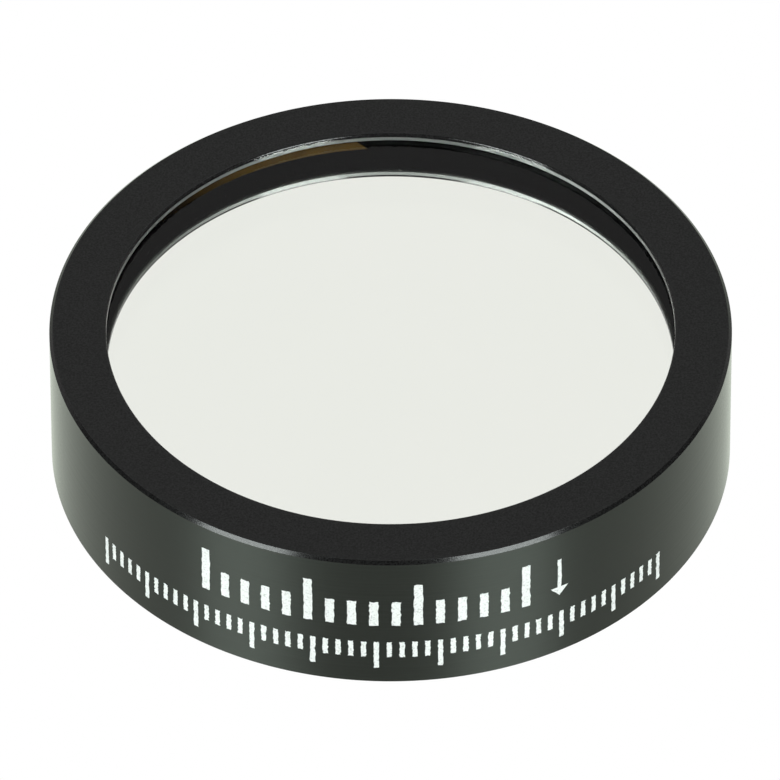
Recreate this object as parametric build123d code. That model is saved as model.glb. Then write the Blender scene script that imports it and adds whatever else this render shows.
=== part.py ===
from build123d import *
import os
from math import cos, radians, sin

# A mounted one-inch optical bandpass filter. All lengths are millimetres and all angles degrees.
# The origin is the centre of the rear face, and +Z is the optical axis, out of the mirror-like front face.
# Azimuth runs round the rim: 0 faces -Y, where the marks are centred, and it grows towards +X.

# Housing ring, turned from one piece, with an inward lip at the front
RING_DIAMETER = 25.4
RING_HEIGHT = 6.3
RIM_WALL = 1.1
LIP_WIDTH = 1.02
LIP_THICKNESS = 0.32
LIP_EDGE_BREAK = 0.08
LIP_RELIEF_WIDTH = 0.12
LIP_RELIEF_DEPTH = 0.04
FRONT_EDGE_BREAK = 0.12
REAR_EDGE_BREAK = 0.25

# Laminated stack of discs, from the lip towards the rear
GLASS_GAP = 0.15
COVER_THICKNESS = 1.52
COATING_THICKNESS = 0.05
COATING_MARGIN = 0.45
SUBSTRATE_THICKNESS = 1.0
CEMENT_THICKNESS = 0.05
BLOCKER_THICKNESS = 1.2

# Retaining ring, pressed in behind the stack
RETAINER_CLEARANCE = 0.02
RETAINER_RECESS = 0.25
RETAINER_EDGE_BREAK = 0.1

# Engraved marks on the rim, filled level with it
ENGRAVING_DEPTH = 0.05
MARKS_FRONT_MARGIN = 1.15
MARKS_REAR_MARGIN = 0.95
ROW_GAP = 0.85
BOLD_ROW_SHARE = 0.61
TICKS_PER_LONG_ONE = 5
SHORT_TICK_SHARE = 0.58
BOLD_TICK_WIDTH = 0.33
BOLD_TICK_COUNT = 16
BOLD_TICK_ANGLE = 3.7
BOLD_FIRST_AZIMUTH = -32.5
FINE_TICK_WIDTH = 0.19
FINE_TICK_COUNT = 51
FINE_TICK_ANGLE = 2.14
FINE_FIRST_AZIMUTH = -56.0
ARROW_AZIMUTH = 29.2
ARROW_LENGTH_SHARE = 0.88
ARROW_SHAFT_WIDTH = 0.155
ARROW_HEAD_WIDTH = 0.7
ARROW_HEAD_LENGTH = 0.42

# Radii that the pieces share
rim_radius = RING_DIAMETER / 2
pocket_radius = rim_radius - RIM_WALL
aperture_radius = pocket_radius - LIP_WIDTH
glass_radius = pocket_radius - GLASS_GAP
coating_radius = glass_radius - COATING_MARGIN

# Heights of the faces where one piece seats on the next, from the front down
front_z = RING_HEIGHT
cover_top_z = front_z - LIP_THICKNESS
coating_top_z = cover_top_z - COVER_THICKNESS
substrate_top_z = coating_top_z - COATING_THICKNESS
cement_top_z = substrate_top_z - SUBSTRATE_THICKNESS
blocker_top_z = cement_top_z - CEMENT_THICKNESS
stack_bottom_z = blocker_top_z - BLOCKER_THICKNESS


def turned(*profile):
    """Solid of revolution about Z from a closed outline of (radius, height) points."""
    return revolve(Plane.XZ * make_face(Polyline(*profile, close=True)), Axis.Z)


def disc(radius, bottom_z, top_z):
    """Flat round disc on the optical axis."""
    return turned((0, bottom_z), (radius, bottom_z), (radius, top_z), (0, top_z))


def housing_blank():
    """The ring before engraving: rim wall, stepped pocket, and a lip relieved under its inner edge."""
    return turned(
        (pocket_radius, 0),
        (rim_radius - REAR_EDGE_BREAK, 0),
        (rim_radius, REAR_EDGE_BREAK),
        (rim_radius, front_z - FRONT_EDGE_BREAK),
        (rim_radius - FRONT_EDGE_BREAK, front_z),
        (aperture_radius + LIP_EDGE_BREAK, front_z),
        (aperture_radius, front_z - LIP_EDGE_BREAK),
        (aperture_radius, cover_top_z + LIP_RELIEF_DEPTH),
        (aperture_radius + LIP_RELIEF_WIDTH, cover_top_z),
        (pocket_radius, cover_top_z),
    )


def edge_seal():
    """Epoxy sleeve round the stack, with a web that fills the uncoated margin of the film plane."""
    return turned(
        (glass_radius, stack_bottom_z),
        (pocket_radius, stack_bottom_z),
        (pocket_radius, cover_top_z),
        (glass_radius, cover_top_z),
        (glass_radius, coating_top_z),
        (coating_radius, coating_top_z),
        (coating_radius, substrate_top_z),
        (glass_radius, substrate_top_z),
    )


def retaining_ring():
    """Plain ring behind the stack, sunk below the rear face, with its two rear edges broken."""
    outer = pocket_radius - RETAINER_CLEARANCE
    rear_z = RETAINER_RECESS
    edge = RETAINER_EDGE_BREAK
    return turned(
        (aperture_radius + edge, rear_z),
        (outer - edge, rear_z),
        (outer, rear_z + edge),
        (outer, stack_bottom_z),
        (aperture_radius, stack_bottom_z),
        (aperture_radius, rear_z + edge),
    )


def on_rim(outline, azimuth):
    """Prism of a flat outline that stands out radially, from the middle of the rim wall past its outside.

    In the outline x runs along the rim and y is the height above the rear face.
    """
    turn = radians(azimuth)
    outward = (sin(turn), -cos(turn), 0)
    along = (cos(turn), sin(turn), 0)
    seat = Plane(origin=(0, 0, 0), x_dir=along, z_dir=outward).offset(rim_radius - RIM_WALL / 2)
    return extrude(seat * outline, amount=RIM_WALL)


def tick(width, bottom_z, top_z):
    """Upright bar, centred on its azimuth."""
    return Pos(0, (bottom_z + top_z) / 2) * Rectangle(width, top_z - bottom_z)


def arrow(top_z, length):
    """Arrow that points from the front face to the rear face, the way the light goes in."""
    tip_z = top_z - length
    neck_z = tip_z + ARROW_HEAD_LENGTH
    half_shaft = ARROW_SHAFT_WIDTH / 2
    half_head = ARROW_HEAD_WIDTH / 2
    return make_face(Polyline(
        (-half_shaft, top_z), (half_shaft, top_z), (half_shaft, neck_z), (half_head, neck_z),
        (0, tip_z), (-half_head, neck_z), (-half_shaft, neck_z), close=True,
    ))


def engraved_marks():
    """All marks as prisms: bold ticks that stand on their base line, fine ones that hang, and the arrow."""
    rows_height = front_z - MARKS_FRONT_MARGIN - MARKS_REAR_MARGIN - ROW_GAP
    bold_height = rows_height * BOLD_ROW_SHARE
    bold_bottom_z = front_z - MARKS_FRONT_MARGIN - bold_height
    fine_top_z = bold_bottom_z - ROW_GAP
    fine_height = fine_top_z - MARKS_REAR_MARGIN
    marks = []
    for i in range(BOLD_TICK_COUNT):
        share = 1 if i % TICKS_PER_LONG_ONE == 0 else SHORT_TICK_SHARE
        bar = tick(BOLD_TICK_WIDTH, bold_bottom_z, bold_bottom_z + bold_height * share)
        marks.append(on_rim(bar, BOLD_FIRST_AZIMUTH + i * BOLD_TICK_ANGLE))
    for i in range(FINE_TICK_COUNT):
        share = 1 if i % TICKS_PER_LONG_ONE == 0 else SHORT_TICK_SHARE
        bar = tick(FINE_TICK_WIDTH, fine_top_z - fine_height * share, fine_top_z)
        marks.append(on_rim(bar, FINE_FIRST_AZIMUTH + i * FINE_TICK_ANGLE))
    arrow_length = bold_height * ARROW_LENGTH_SHARE
    marks.append(on_rim(arrow(bold_bottom_z + arrow_length, arrow_length), ARROW_AZIMUTH))
    return marks


def engraving_fill():
    """The part of each mark's prism that lies in the outer skin of the rim."""
    floor = rim_radius - ENGRAVING_DEPTH
    skin = turned((floor, 0), (rim_radius, 0), (rim_radius, front_z), (floor, front_z))
    return [mark & skin for mark in engraved_marks()]


fills = engraving_fill()
nodes = {
    "housing_ring": housing_blank() - fills,
    "engraving_fill": Compound(children=fills),
    "cover_glass": disc(glass_radius, coating_top_z, cover_top_z),
    "bandpass_coating": disc(coating_radius, substrate_top_z, coating_top_z),
    "coated_substrate": disc(glass_radius, cement_top_z, substrate_top_z),
    "cement_layer": disc(glass_radius, blocker_top_z, cement_top_z),
    "blocking_glass": disc(glass_radius, stack_bottom_z, blocker_top_z),
    "edge_seal": edge_seal(),
    "retaining_ring": retaining_ring(),
}

os.makedirs("parts", exist_ok=True)
for name, shape in nodes.items():
    export_step(shape, f"parts/{name}.step")
    print(name, round(shape.volume, 4))
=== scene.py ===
from math import cos, pi, radians, sin

import bpy
import numpy as np
from mathutils import Matrix, Vector


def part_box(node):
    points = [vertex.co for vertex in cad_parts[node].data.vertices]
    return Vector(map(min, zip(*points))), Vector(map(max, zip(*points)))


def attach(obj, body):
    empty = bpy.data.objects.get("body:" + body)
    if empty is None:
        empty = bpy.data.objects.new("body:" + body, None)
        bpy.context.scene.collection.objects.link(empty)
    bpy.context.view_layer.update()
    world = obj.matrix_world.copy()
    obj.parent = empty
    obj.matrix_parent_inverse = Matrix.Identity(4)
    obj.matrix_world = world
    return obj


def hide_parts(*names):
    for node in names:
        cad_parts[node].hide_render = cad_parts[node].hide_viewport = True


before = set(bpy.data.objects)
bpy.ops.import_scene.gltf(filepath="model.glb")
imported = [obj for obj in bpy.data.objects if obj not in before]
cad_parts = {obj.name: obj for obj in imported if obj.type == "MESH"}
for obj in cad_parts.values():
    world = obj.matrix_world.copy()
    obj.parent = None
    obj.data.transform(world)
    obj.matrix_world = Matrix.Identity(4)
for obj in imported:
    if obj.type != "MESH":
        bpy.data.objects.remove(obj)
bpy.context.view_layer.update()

# A mounted one-inch bandpass filter. Metres, with the origin at the centre of the rear face and +Z out of
# the mirror-like front face. Azimuth runs round the rim: 0 faces -Y, and it grows towards +X.
MM = 0.001

# Sizes of the solids that the frame's boxes don't give
APERTURE_RADIUS = 10.58 * MM
LIP_EDGE_BREAK = 0.08 * MM
LIP_RELIEF_WIDTH = 0.12 * MM
LIP_RELIEF_DEPTH = 0.04 * MM
FRONT_EDGE_BREAK = 0.12 * MM
REAR_EDGE_BREAK = 0.25 * MM
RETAINER_EDGE_BREAK = 0.1 * MM
ENGRAVING_DEPTH = 0.05 * MM

# The clear glass reaches this far into what it is bonded to, so that no air film shows between them
BOND = 0.004 * MM
# How far the table lies below the rear face, so that the two don't flicker
TABLE_DROP = 0.01 * MM

ROUND_STEPS = 384
ARC_STEPS = 5
BREAK_STEPS = 3
CREASE = radians(25)
# A profile point nearer the axis than this lies on it
ON_AXIS = 1e-9
# A ring of points this far from a rounded edge keeps the shading of the flat beside it flat
FLAT_KEPT = 0.01 * MM

BLACK = (0.0, 0.0, 0.0, 1.0)
WHITE = (1.0, 1.0, 1.0, 1.0)


def round_sizes(node):
    """Outer radius, lowest and highest height of a round node."""
    low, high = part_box(node)
    return high[0], low[2], high[2]


rim_radius, rear_z, front_z = round_sizes("housing_ring")
pocket_radius, seal_bottom_z, seal_top_z = round_sizes("edge_seal")
glass_radius, cover_bottom_z, cover_top_z = round_sizes("cover_glass")
coating_radius, coating_bottom_z, coating_top_z = round_sizes("bandpass_coating")
retainer_radius, retainer_bottom_z, retainer_top_z = round_sizes("retaining_ring")


class Flow:
    """One socket of a shader. Arithmetic on it adds Math nodes, and node() adds any other node."""

    def __init__(self, tree, socket=None):
        self.tree = tree
        self.socket = socket

    def node(self, kind, settings=None, inputs=None, output=0):
        """Adds a node of a type, sets its settings, then its sockets, and returns one of its outputs."""
        made = self.tree.nodes.new(kind)
        for name, setting in (settings or {}).items():
            setattr(made, name, setting)
        for key, given in (inputs or {}).items():
            if isinstance(given, Flow):
                self.tree.links.new(given.socket, made.inputs[key])
            else:
                made.inputs[key].default_value = given
        return Flow(self.tree, made.outputs[output])

    def math(self, operation, *others):
        """Adds a Math node on this value and any others."""
        return self.node("ShaderNodeMath", {"operation": operation}, dict(enumerate((self, *others))))

    def __add__(self, other):
        return self.math("ADD", other)

    def __sub__(self, other):
        return self.math("SUBTRACT", other)

    def __rsub__(self, other):
        return self.node("ShaderNodeMath", {"operation": "SUBTRACT"}, {0: other, 1: self})

    def __mul__(self, other):
        return self.math("MULTIPLY", other)

    __radd__ = __add__
    __rmul__ = __mul__

    def rise(self, low, high):
        """0 below low, 1 above high, and a smooth climb between."""
        ends = {"Value": self, "From Min": low, "From Max": high, "To Min": 0.0, "To Max": 1.0}
        return self.node("ShaderNodeMapRange", {"interpolation_type": "SMOOTHSTEP"}, ends)

    def band(self, low, high, soft):
        """1 between low and high and 0 outside them, with soft edges."""
        return self.rise(low - soft, low + soft) * (1.0 - self.rise(high - soft, high + soft))

    def blend(self, first, second):
        """Mixes two colours, with this value as the share of the second."""
        colour_a, colour_b, mixed_colour = 6, 7, 2
        ends = {"Factor": self, colour_a: first, colour_b: second}
        return self.node("ShaderNodeMix", {"data_type": "RGBA"}, ends, output=mixed_colour)

    def split(self):
        """The x, y and z of a vector."""
        return [self.node("ShaderNodeSeparateXYZ", inputs={0: self}, output=axis) for axis in "XYZ"]


class Place:
    """Object coordinates of a shader: x, y, z, the distance from the axis, and the azimuth in degrees."""

    def __init__(self, flow):
        self.point = flow.node("ShaderNodeTexCoord", output="Object")
        self.x, self.y, self.z = self.point.split()
        self.radius = (self.x * self.x + self.y * self.y).math("SQRT")
        self.azimuth = self.x.math("ARCTAN2", 0.0 - self.y) * (180 / pi)

    def round_the_rim(self, flow, per_degree, upwards):
        """A vector: the azimuth in degrees times per_degree, and the height times upwards."""
        return stretched(flow, self.azimuth * per_degree, 0.0, self.z * upwards)


def noise(flow, vector, scale, detail=2.0, roughness=0.5):
    """Smooth noise between 0 and 1, scale in wiggles per metre of the vector."""
    inputs = {"Vector": vector, "Scale": scale, "Detail": detail, "Roughness": roughness}
    return flow.node("ShaderNodeTexNoise", inputs=inputs)


def stretched(flow, x, y, z):
    """A vector from three values."""
    return flow.node("ShaderNodeCombineXYZ", inputs={0: x, 1: y, 2: z})


def finish(name, paint, **fixed):
    """A material with one Principled shader: fixed numbers set directly, and what paint returns."""
    made = bpy.data.materials.new(name)
    made.use_nodes = True
    tree = made.node_tree
    shader = tree.nodes["Principled BSDF"]
    for key, value in fixed.items():
        shader.inputs[key.replace("_", " ").title().replace("Ior", "IOR")].default_value = value
    flow = Flow(tree)
    for key, value in paint(flow, Place(flow)).items():
        if isinstance(value, Flow):
            tree.links.new(value.socket, shader.inputs[key])
        else:
            shader.inputs[key].default_value = value
    return made


def bump(flow, height, strength, distance):
    """Normal from a height between 0 and 1; distance is how tall 1 stands, in metres."""
    inputs = {"Strength": strength, "Distance": distance, "Height": height}
    return flow.node("ShaderNodeBump", inputs=inputs)


def anodised_face(flow, at):
    """Black anodise: a fine grain, burnished edges, and a bare strip low on the lip's inner wall, whose
    metal is lighter at the back right as a painted highlight.
    """
    grain = noise(flow, at.point, 14000.0, detail=3.0, roughness=0.6)
    streaks = noise(flow, at.round_the_rim(flow, 0.25 * MM, 6.0), 6000.0, detail=3.0, roughness=0.6)
    lip_edge = 1.0 - at.radius.rise(APERTURE_RADIUS + 0.06 * MM, APERTURE_RADIUS + 0.1 * MM)
    break_starts = rim_radius - FRONT_EDGE_BREAK
    rim_edge = at.radius.rise(break_starts - 0.01 * MM, break_starts + 0.01 * MM)
    # Degrees of azimuth: wear starts past the sides, and the bare metal is lighter at the back right, a
    # painted highlight
    back = at.azimuth.math("ABSOLUTE").rise(92.0, 135.0)
    worn_and_highlight = at.azimuth.band(108.0, 146.0, soft=7.0)
    strip = lip_edge * at.z.band(front_z - 0.3 * MM, front_z - 0.13 * MM, soft=0.02 * MM)
    bare = strip * (0.3 + 1.4 * streaks) * (0.4 + 0.6 * back)
    # Lighter metal at the back right: a painted highlight on the worn strip
    metal_with_highlight = worn_and_highlight.blend((0.13, 0.132, 0.13, 1.0), (0.34, 0.345, 0.34, 1.0))
    black = grain.rise(0.3, 0.7).blend(BLACK, (0.009, 0.009, 0.009, 1.0))
    burnished = lip_edge * (0.03 + 0.42 * back) + rim_edge * 0.05
    return {
        "Base Color": bare.blend(black, metal_with_highlight),
        "Metallic": bare.math("MINIMUM", 1.0),
        "Roughness": 0.4 - 0.25 * (lip_edge + rim_edge) + 0.48 * bare,
        "Coat Weight": burnished * streaks.rise(0.4, 0.65),
        "Normal": bump(flow, grain, strength=0.5, distance=0.002 * MM),
    }


def anodised_rim(flow, at):
    """Black anodise on the turned rim: fine lines round it, which spread each reflection up and down."""
    wander = noise(flow, at.point, 300.0) * (0.03 * MM)
    lines = noise(flow, stretched(flow, 0.0, 0.0, at.z + wander), 8000.0, detail=4.0, roughness=0.7)
    scuffs = noise(flow, at.round_the_rim(flow, 0.1 * MM, 12.0), 1500.0, detail=3.0, roughness=0.6)
    tone = lines * 0.7 + scuffs * 0.3
    return {
        "Base Color": tone.rise(0.3, 0.7).blend(BLACK, (0.007, 0.008, 0.007, 1.0)),
        "Roughness": 0.33 + 0.1 * scuffs + 0.28 * lines,
        "Normal": bump(flow, lines, strength=0.5, distance=0.004 * MM),
    }


def bonded(flow, at):
    """Anodise wetted by epoxy, seen through glass: black with rare specks, and no gloss of its own."""
    specks = noise(flow, at.point, 6000.0).rise(0.7, 0.8)
    return {"Base Color": specks.blend(BLACK, (0.004, 0.004, 0.004, 1.0)), "Roughness": 0.9}


def white_fill(flow, at):
    """Matt white fill, mottled where the strokes were burnt in."""
    mottle = noise(flow, at.point, 14000.0, detail=3.0, roughness=0.6)
    return {
        "Base Color": mottle.rise(0.3, 0.5).blend((0.62, 0.64, 0.62, 1.0), (0.91, 0.93, 0.91, 1.0)),
        "Roughness": 0.7,
        "Normal": bump(flow, mottle, strength=0.3, distance=0.006 * MM),
    }


def clear_glass(flow, at):
    """Polished glass, a trace green."""
    slow = noise(flow, at.point, 900.0)
    colour = slow.blend((0.98, 0.992, 0.98, 1.0), (0.988, 0.996, 0.988, 1.0))
    return {"Base Color": colour, "Roughness": 0.0}


def mirror_film(flow, at):
    """Thin-film mirror, faintly green, with slow changes of tone across it."""
    slow = noise(flow, at.point, 130.0, detail=1.0)
    colour = slow.blend((0.822, 0.832, 0.80, 1.0), (0.836, 0.838, 0.81, 1.0))
    return {"Base Color": colour, "Roughness": 0.012}


def edge_epoxy(flow, at):
    """Cured epoxy, black, with painted amber light in a stretch of the film's margin.

    The stretch runs from the back towards the left. Its right end is a slant, which lies further round the
    nearer it is to the rim, and its left end fades out. Azimuths here are in degrees from the back.
    """
    mottle = noise(flow, at.point, 1500.0, detail=3.0)
    from_back = (0.0 - at.x).math("ARCTAN2", at.y) * (180 / pi)
    slant = (at.radius - coating_radius) * (4.2 / MM)
    right_end = (from_back - slant).rise(4.2, 4.8)
    left_end = 1.0 - from_back.rise(22.0, 53.0)
    in_margin = 1.0 - at.radius.rise(glass_radius - 0.03 * MM, glass_radius - 0.01 * MM)
    # The amber stretch is painted light
    amber = right_end * left_end * (0.8 + 0.3 * mottle) * in_margin
    return {"Base Color": amber.blend(BLACK, (0.08, 0.046, 0.0125, 1.0)), "Roughness": 0.5}


def amber_glass(flow, at):
    """Absorbing amber glass, polished."""
    slow = noise(flow, at.point, 200.0)
    colour = slow.blend((0.80, 0.40, 0.035, 1.0), (0.84, 0.44, 0.05, 1.0))
    return {"Base Color": colour, "Roughness": 0.005}


def cement(flow, at):
    """Optical cement, a trace yellow. Its low alpha makes the thin layer clear."""
    slow = noise(flow, at.point, 400.0)
    colour = slow.blend((0.96, 0.95, 0.86, 1.0), (0.98, 0.97, 0.90, 1.0))
    return {"Base Color": colour, "Roughness": 0.02}


black_anodised = finish("black_anodised", anodised_face, ior=1.228, coat_roughness=0.1)
rim_anodised = finish(
    "black_anodised_rim", anodised_rim, ior=1.31, specular_tint=(0.9, 1.0, 0.89, 1.0),
    anisotropic=1.0, anisotropic_rotation=0.25, coat_weight=0.8, coat_ior=1.265, coat_roughness=0.12,
)
bonded_black = finish("bonded_black", bonded, specular_ior_level=0.0)
engraving_white = finish("engraving_white", white_fill, specular_ior_level=0.1)
crown_glass = finish(
    "crown_glass", clear_glass, ior=1.52, transmission_weight=1.0, specular_tint=(0.047, 0.047, 0.05, 1.0),
)
mirror = finish("bandpass_mirror", mirror_film, metallic=1.0)
# Black epoxy with a stretch of painted amber light
epoxy = finish("edge_epoxy", edge_epoxy, specular_ior_level=0.0)
amber = finish("amber_blocking_glass", amber_glass, ior=1.53, transmission_weight=1.0)
lens_cement = finish("lens_cement", cement, ior=1.5, alpha=0.08)


def piece(name, points, faces, material, *nodes):
    """A mesh at the origin from points and arrays of faces. It stands for CAD nodes and rides along."""
    mesh = bpy.data.meshes.new(name)
    mesh.from_pydata(points.tolist(), [], [face for kind in faces for face in kind.tolist()])
    mesh.validate()
    mesh.polygons.foreach_set("use_smooth", np.ones(len(mesh.polygons), bool))
    mesh.set_sharp_from_angle(angle=CREASE)
    made = bpy.data.objects.new(name, mesh)
    bpy.context.scene.collection.objects.link(made)
    mesh.materials.append(material)
    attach(made, "root")
    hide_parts(*nodes)
    return made


def cover_with(made, material, first_band, bands):
    """Gives bands of a turned piece one more material. A band lies between two profile points."""
    mesh = made.data
    mesh.materials.append(material)
    index = np.zeros(len(mesh.polygons), np.int32)
    mesh.polygons.foreach_get("material_index", index)
    index[first_band * ROUND_STEPS:(first_band + bands) * ROUND_STEPS] = len(mesh.materials) - 1
    mesh.polygons.foreach_set("material_index", index)


def turned(name, profile, material, *nodes):
    """Ring or disc turned about Z. The profile is (radius, height) points, the outside going up.

    A point (r, h) of the profile at turn t is (r cos t, r sin t, h). Neighbouring profile points and turns
    share a quad. A closed profile joins its last point to its first; one that starts and ends on the axis
    ends in two fans of triangles.
    """
    r, h = np.array(profile).T
    off_axis = r > ON_AXIS
    closed = off_axis.all()
    t = np.linspace(0, 2 * pi, ROUND_STEPS, endpoint=False)
    ring, height = r[off_axis], h[off_axis]
    count = len(ring)
    points = np.stack([
        np.outer(ring, np.cos(t)), np.outer(ring, np.sin(t)), np.outer(height, np.ones_like(t))
    ], -1).reshape(-1, 3)
    here = np.arange(ROUND_STEPS)
    beside = (here + 1) % ROUND_STEPS
    low = np.arange(count if closed else count - 1)[:, None] * ROUND_STEPS
    high = (low + ROUND_STEPS) % (count * ROUND_STEPS)
    quads = np.stack(np.broadcast_arrays(low + here, low + beside, high + beside, high + here), -1)
    faces = [quads.reshape(-1, 4)]
    if not closed:
        bottom, top = len(points), len(points) + 1
        points = np.vstack([points, [(0, 0, h[0]), (0, 0, h[-1])]])
        last = (count - 1) * ROUND_STEPS
        faces.append(np.stack([np.full_like(here, bottom), beside, here], -1))
        faces.append(np.stack([np.full_like(here, top), last + here, last + beside], -1))
    return piece(name, points, faces, material, *nodes)


def arc(centre, radius, first, last):
    """Points of a circular arc in the (radius, height) plane, angles in degrees from the outward direction.

    The point at angle a is the centre plus radius times (cos a, sin a).
    """
    turn = np.radians(np.linspace(first, last, ARC_STEPS))
    return np.stack([centre[0] + radius * np.cos(turn), centre[1] + radius * np.sin(turn)], -1).tolist()


def straight(start, end):
    """Evenly spaced points of a broken edge from start to end, both included."""
    return np.linspace(start, end, BREAK_STEPS).tolist()


housing = turned("housing_shell", [
    *straight((rim_radius - REAR_EDGE_BREAK, rear_z), (rim_radius, rear_z + REAR_EDGE_BREAK)),
    *straight((rim_radius, front_z - FRONT_EDGE_BREAK), (rim_radius - FRONT_EDGE_BREAK, front_z)),
    (APERTURE_RADIUS + LIP_EDGE_BREAK + FLAT_KEPT, front_z),
    *arc((APERTURE_RADIUS + LIP_EDGE_BREAK, front_z - LIP_EDGE_BREAK), LIP_EDGE_BREAK, 90, 180),
    (APERTURE_RADIUS, cover_top_z + LIP_RELIEF_DEPTH),
    (APERTURE_RADIUS + LIP_RELIEF_WIDTH, cover_top_z - BOND),
    (pocket_radius - BOND, cover_top_z - BOND),
    (pocket_radius - BOND, rear_z),
], black_anodised, "housing_ring")
# The rim lies between the two broken edges. What is bonded is the lip's underside and the pocket's wall.
rim_band = BREAK_STEPS - 1
cover_with(housing, rim_anodised, rim_band, 1)
lip_underside_band = BREAK_STEPS * 2 + ARC_STEPS + 2
cover_with(housing, bonded_black, lip_underside_band, 2)

turned("cover_disc", [
    (0, cover_bottom_z), (glass_radius + BOND, cover_bottom_z),
    (glass_radius + BOND, cover_top_z), (0, cover_top_z),
], crown_glass, "cover_glass")

turned("mirror_disc", [
    (0, coating_bottom_z), (coating_radius, coating_bottom_z),
    (coating_radius, coating_top_z + BOND), (0, coating_top_z + BOND),
], mirror, "bandpass_coating")

turned("seal_sleeve", [
    (glass_radius, seal_bottom_z), (pocket_radius, seal_bottom_z),
    (pocket_radius, seal_top_z - BOND * 2), (glass_radius, seal_top_z - BOND * 2),
    (glass_radius, coating_top_z + BOND), (coating_radius, coating_top_z + BOND),
    (coating_radius, coating_bottom_z), (glass_radius, coating_bottom_z),
], epoxy, "edge_seal")

turned("retainer", [
    (APERTURE_RADIUS + RETAINER_EDGE_BREAK, retainer_bottom_z),
    (retainer_radius - RETAINER_EDGE_BREAK, retainer_bottom_z),
    (retainer_radius, retainer_bottom_z + RETAINER_EDGE_BREAK),
    (retainer_radius, retainer_top_z),
    (APERTURE_RADIUS, retainer_top_z),
    (APERTURE_RADIUS, retainer_bottom_z + RETAINER_EDGE_BREAK),
], black_anodised, "retaining_ring")


# Marks on the rim, as the solids have them. Azimuths and steps are in degrees.
TICKS_PER_LONG_ONE = 5
SHORT_TICK_SHARE = 0.58
BOLD_COUNT = 16
BOLD_FIRST_AZIMUTH = -32.5
BOLD_STEP = 3.7
BOLD_WIDTH = 0.33 * MM
BOLD_BOTTOM = 3.1065 * MM
BOLD_HEIGHT = 2.0435 * MM
FINE_COUNT = 51
FINE_FIRST_AZIMUTH = -56.0
FINE_STEP = 2.14
FINE_WIDTH = 0.19 * MM
FINE_TOP = 2.2565 * MM
FINE_HEIGHT = 1.3065 * MM
ARROW_AZIMUTH = 29.2
ARROW_LENGTH = BOLD_HEIGHT * 0.88
ARROW_SHAFT_WIDTH = 0.155 * MM
ARROW_HEAD_WIDTH = 0.7 * MM
ARROW_HEAD_LENGTH = 0.42 * MM
ARROW_TIP_WIDTH = 0.024 * MM
# The step from the arrow's head to its shaft takes this little height
ARROW_SHOULDER = 0.004 * MM

# The fill stands this proud of the rim, and its border wanders by about this much
FILL_PROUD = 0.003 * MM
RAGGED = 0.012 * MM
RAGGED_SEED = 7
TICK_ROWS = 14
HEAD_ROWS = 5
SHAFT_ROWS = 9
COLUMNS = 5


def ticks(count, first_azimuth, step, width, height):
    """Rows of (azimuth, half width, length). Tick n stands at first_azimuth + n step, each fifth is long."""
    number = np.arange(count)
    length = np.where(number % TICKS_PER_LONG_ONE == 0, height, height * SHORT_TICK_SHARE)
    return np.stack([first_azimuth + number * step, np.full(count, width / 2), length], -1)


def strips(azimuth, heights, half_widths, ragged):
    """Closed plates that follow the rim: one per azimuth, with a half width at each height.

    Point (row, column) of the outside lies at height h(row) and at arc length w(row) u(column) from the
    azimuth, u from -1 to 1, plus a random shift at the plate's edges. The inside repeats it one engraving
    depth nearer the axis, and quads round the border join the two.
    """
    marks, rows = heights.shape
    u = np.linspace(-1, 1, COLUMNS)
    shift = ragged.normal(0, RAGGED, (2, marks, rows, COLUMNS))
    at_side = np.abs(u) == 1
    at_end = np.zeros(rows, bool)
    at_end[[0, -1]] = True
    s = half_widths[..., None] * u + shift[0] * at_side
    z = heights[..., None] + shift[1] * at_end[:, None]
    turn = np.radians(azimuth)[:, None, None] + s / rim_radius
    shells = []
    for radius in (rim_radius + FILL_PROUD, rim_radius - ENGRAVING_DEPTH):
        shell = np.stack([radius * np.sin(turn), -radius * np.cos(turn), z], -1)
        shells.append(shell.reshape(marks, -1, 3))
    points = np.concatenate(shells, 1)
    grid = np.arange(rows * COLUMNS).reshape(rows, COLUMNS)
    quads = np.stack([grid[:-1, :-1], grid[:-1, 1:], grid[1:, 1:], grid[1:, :-1]], -1).reshape(-1, 4)
    border = np.concatenate([grid[0, :-1], grid[:-1, -1], grid[-1, :0:-1], grid[:0:-1, 0]])
    after = np.roll(border, -1)
    inner = rows * COLUMNS
    walls = np.stack([border, border + inner, after + inner, after], -1)
    faces = np.concatenate([quads, quads[:, ::-1] + inner, walls])
    offsets = np.arange(marks)[:, None, None] * inner * 2
    return points.reshape(-1, 3), (faces + offsets).reshape(-1, 4)


def tick_row(table, bottom, ragged):
    """Plates of a row of ticks: each tick's heights run evenly from its bottom over its length."""
    heights = np.broadcast_to(bottom, len(table))[:, None] + table[:, 2:] * np.linspace(0, 1, TICK_ROWS)
    return strips(table[:, 0], heights, np.broadcast_to(table[:, 1:2], heights.shape), ragged)


def arrow(ragged):
    """Plate of the arrow, which points down: its half width runs straight between four knots.

    The knots are the tip, the widest part of the head, the foot of the shaft just above it, and the top.
    """
    knots = np.array([0, ARROW_HEAD_LENGTH, ARROW_HEAD_LENGTH + ARROW_SHOULDER, ARROW_LENGTH])
    widths = np.array([ARROW_TIP_WIDTH, ARROW_HEAD_WIDTH, ARROW_SHAFT_WIDTH, ARROW_SHAFT_WIDTH])
    heights = np.concatenate([
        np.linspace(0, ARROW_HEAD_LENGTH, HEAD_ROWS), np.linspace(knots[2], knots[3], SHAFT_ROWS)
    ])
    half = np.interp(heights, knots, widths / 2)
    return strips(np.array([ARROW_AZIMUTH]), heights[None] + BOLD_BOTTOM, half[None], ragged)


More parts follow.
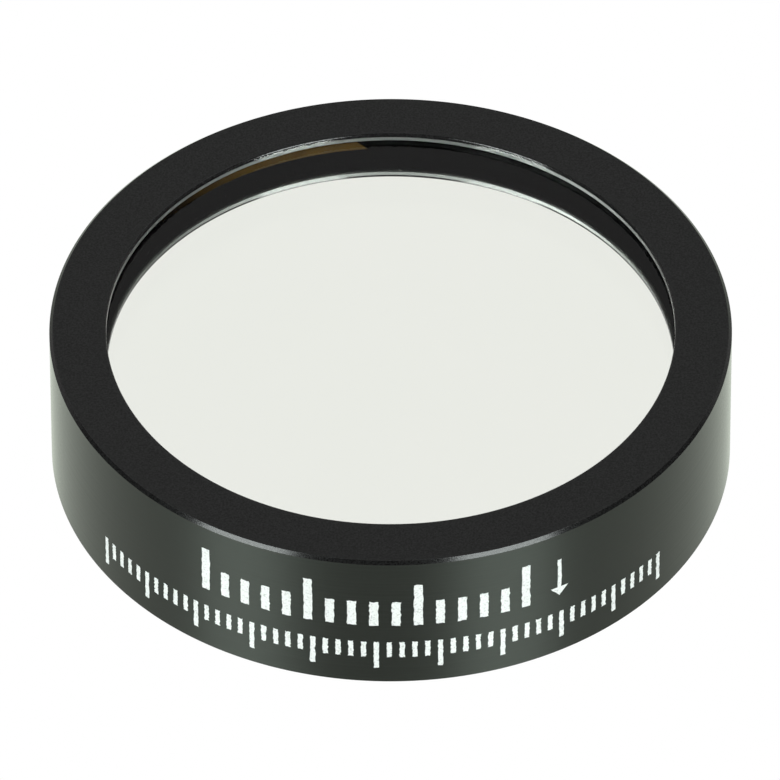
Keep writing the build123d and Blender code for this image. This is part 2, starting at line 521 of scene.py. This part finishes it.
def marks_fill():
    """White marks: the bold row stands on its base line, the fine row hangs, an arrow ends the bold one."""
    ragged = np.random.default_rng(RAGGED_SEED)
    bold = ticks(BOLD_COUNT, BOLD_FIRST_AZIMUTH, BOLD_STEP, BOLD_WIDTH, BOLD_HEIGHT)
    fine = ticks(FINE_COUNT, FINE_FIRST_AZIMUTH, FINE_STEP, FINE_WIDTH, FINE_HEIGHT)
    rows = [
        tick_row(bold, BOLD_BOTTOM, ragged),
        tick_row(fine, FINE_TOP - fine[:, 2], ragged),
        arrow(ragged),
    ]
    points, faces = zip(*rows)
    starts = np.cumsum([0] + [len(row) for row in points[:-1]])
    return np.concatenate(points), [row + start for start, row in zip(starts, faces)]


piece("marks_fill", *marks_fill(), engraving_white, "engraving_fill")

for node, material in {
    "coated_substrate": crown_glass, "cement_layer": lens_cement, "blocking_glass": amber,
}.items():
    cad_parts[node].data.materials.clear()
    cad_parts[node].data.materials.append(material)


def light_path(flow, *kinds):
    """1 on camera rays and on the named kinds of ray, and 0 on the rays that light the object."""
    total = flow.node("ShaderNodeLightPath", output="Is Camera Ray")
    for kind in kinds:
        total = total.math("MAXIMUM", flow.node("ShaderNodeLightPath", output=kind))
    return total


TABLE_REACH = 2.0
TABLE_COLOUR = (0.85, 0.85, 0.85, 1.0)
# What gloss and glass see of the table, a trace green
TABLE_IN_GLOSS = (0.95, 1.03, 0.9, 1.0)
BACKDROP_COLOUR = (1.0, 1.0, 0.985, 1.0)
# Where the backdrop fades in from the sides and out towards the top, as parts of a unit direction
BACKDROP_SIDES = (0.25, 0.45)
BACKDROP_TOP = (0.78, 0.92)
# What lights the object from all round, and shows in gloss overhead and behind the camera
ROOM_COLOUR = (0.35, 0.35, 0.35, 1.0)


def floor():
    """Wide table: white to the camera and in gloss, glass and mirror, and clear from below."""
    corners = [(-1, -1), (1, -1), (1, 1), (-1, 1)]
    top = rear_z - TABLE_DROP
    mesh = bpy.data.meshes.new("table")
    mesh.from_pydata([(x * TABLE_REACH, y * TABLE_REACH, top) for x, y in corners], [], [(0, 1, 2, 3)])
    made = bpy.data.objects.new("table", mesh)
    bpy.context.scene.collection.objects.link(made)
    paint = bpy.data.materials.new("white_table")
    paint.use_nodes = True
    tree = paint.node_tree
    tree.nodes.remove(tree.nodes["Principled BSDF"])
    flow = Flow(tree)
    seen = light_path(flow, "Is Glossy Ray", "Is Transmission Ray")
    matt = flow.node("ShaderNodeBsdfDiffuse", inputs={"Color": TABLE_COLOUR})
    white = light_path(flow).blend(TABLE_IN_GLOSS, WHITE)
    glow = flow.node("ShaderNodeEmission", inputs={"Color": white, "Strength": 1.0})
    both = flow.node("ShaderNodeMixShader", inputs={0: seen, 1: matt, 2: glow})
    below = flow.node("ShaderNodeNewGeometry", output="Backfacing")
    clear = flow.node("ShaderNodeBsdfTransparent")
    shown = flow.node("ShaderNodeMixShader", inputs={0: below, 1: both, 2: clear})
    tree.links.new(shown.socket, tree.nodes["Material Output"].inputs["Surface"])
    mesh.materials.append(paint)


def studio_world():
    """White to the camera. Gloss and glass see the backdrop behind the object, and grey elsewhere."""
    world = bpy.data.worlds.new("studio")
    bpy.context.scene.world = world
    world.use_nodes = True
    tree = world.node_tree
    flow = Flow(tree)
    x, y, z = flow.node("ShaderNodeTexCoord", output="Generated").split()
    behind = y.rise(*BACKDROP_SIDES) * (1.0 - z.rise(*BACKDROP_TOP))
    backdrop = behind * light_path(flow, "Is Glossy Ray", "Is Transmission Ray")
    colour = backdrop.math("MAXIMUM", light_path(flow)).blend(ROOM_COLOUR, BACKDROP_COLOUR)
    tree.links.new(colour.socket, tree.nodes["Background"].inputs["Color"])
    tree.nodes["Background"].inputs["Strength"].default_value = 1.0


# How bright the soft boxes are, where 1 is white: as gloss shows them, and as they light the object
BOX_IN_GLOSS = 27.0
BOX_AS_LIGHT = 9.2
BOX_COLOUR = (0.93, 1.0, 0.98)
# Metres from the object, and degrees
BOX_DISTANCE = 0.9
BOX_ELEVATION = 43.0
BOX_LEAN = 7.0


def soft_box(name, azimuth, lean, size):
    """A leaning soft box that faces the object: a lamp that gloss shows, and a weaker one that lights it."""
    for use, radiance in (("gloss", BOX_IN_GLOSS), ("light", BOX_AS_LIGHT)):
        lamp = bpy.data.lights.new(f"{name}_{use}", "AREA")
        lamp.shape = "RECTANGLE"
        lamp.size, lamp.size_y = size
        lamp.energy = radiance * pi * size[0] * size[1]
        lamp.color = BOX_COLOUR
        made = bpy.data.objects.new(f"{name}_{use}", lamp)
        bpy.context.scene.collection.objects.link(made)
        a, e = radians(azimuth), radians(BOX_ELEVATION)
        out = Vector((sin(a) * cos(e), -cos(a) * cos(e), sin(e)))
        made.location = out * BOX_DISTANCE
        made.rotation_mode = "QUATERNION"
        tilt = Matrix.Rotation(radians(lean), 3, "Z").to_quaternion()
        made.rotation_quaternion = out.to_track_quat("Z", "Y") @ tilt
        made.visible_camera = False
        made.visible_diffuse = use == "light"
        made.visible_glossy = use == "gloss"
        made.visible_transmission = use == "gloss"


# The photograph's view: where the camera stands and what it looks at, found from the object's outlines
CAMERA_DISTANCE = 600 * MM
CAMERA_ELEVATION = radians(43.06)
CAMERA_ROLL = radians(0.149)
LENS = 744.4
SENSOR_WIDTH = 36.0
AIM_BELOW = 2.366 * MM
AIM_LEFT = 0.029 * MM


def photo_camera():
    """Camera aimed a little below the front face's centre, with the right side a hair higher."""
    back = Vector((0, -cos(CAMERA_ELEVATION), sin(CAMERA_ELEVATION)))
    up = Vector((0, sin(CAMERA_ELEVATION), cos(CAMERA_ELEVATION)))
    centre = Vector((0, 0, front_z))
    aim = centre - up * AIM_BELOW - Vector((AIM_LEFT, 0, 0))
    data = bpy.data.cameras.new("camera")
    data.lens = LENS
    data.sensor_width = SENSOR_WIDTH
    data.clip_start, data.clip_end = 0.05, 10.0
    made = bpy.data.objects.new("camera", data)
    bpy.context.scene.collection.objects.link(made)
    made.location = centre + back * CAMERA_DISTANCE
    made.rotation_mode = "QUATERNION"
    look = (made.location - aim).to_track_quat("Z", "Y")
    made.rotation_quaternion = look @ Matrix.Rotation(-CAMERA_ROLL, 3, "Z").to_quaternion()
    bpy.context.scene.camera = made


floor()
studio_world()
soft_box("left_box", azimuth=-50.0, lean=BOX_LEAN, size=(0.36, 0.6))
soft_box("right_box", azimuth=38.5, lean=-BOX_LEAN, size=(0.38, 0.6))
photo_camera()
bpy.context.scene.view_settings.view_transform = "Standard"
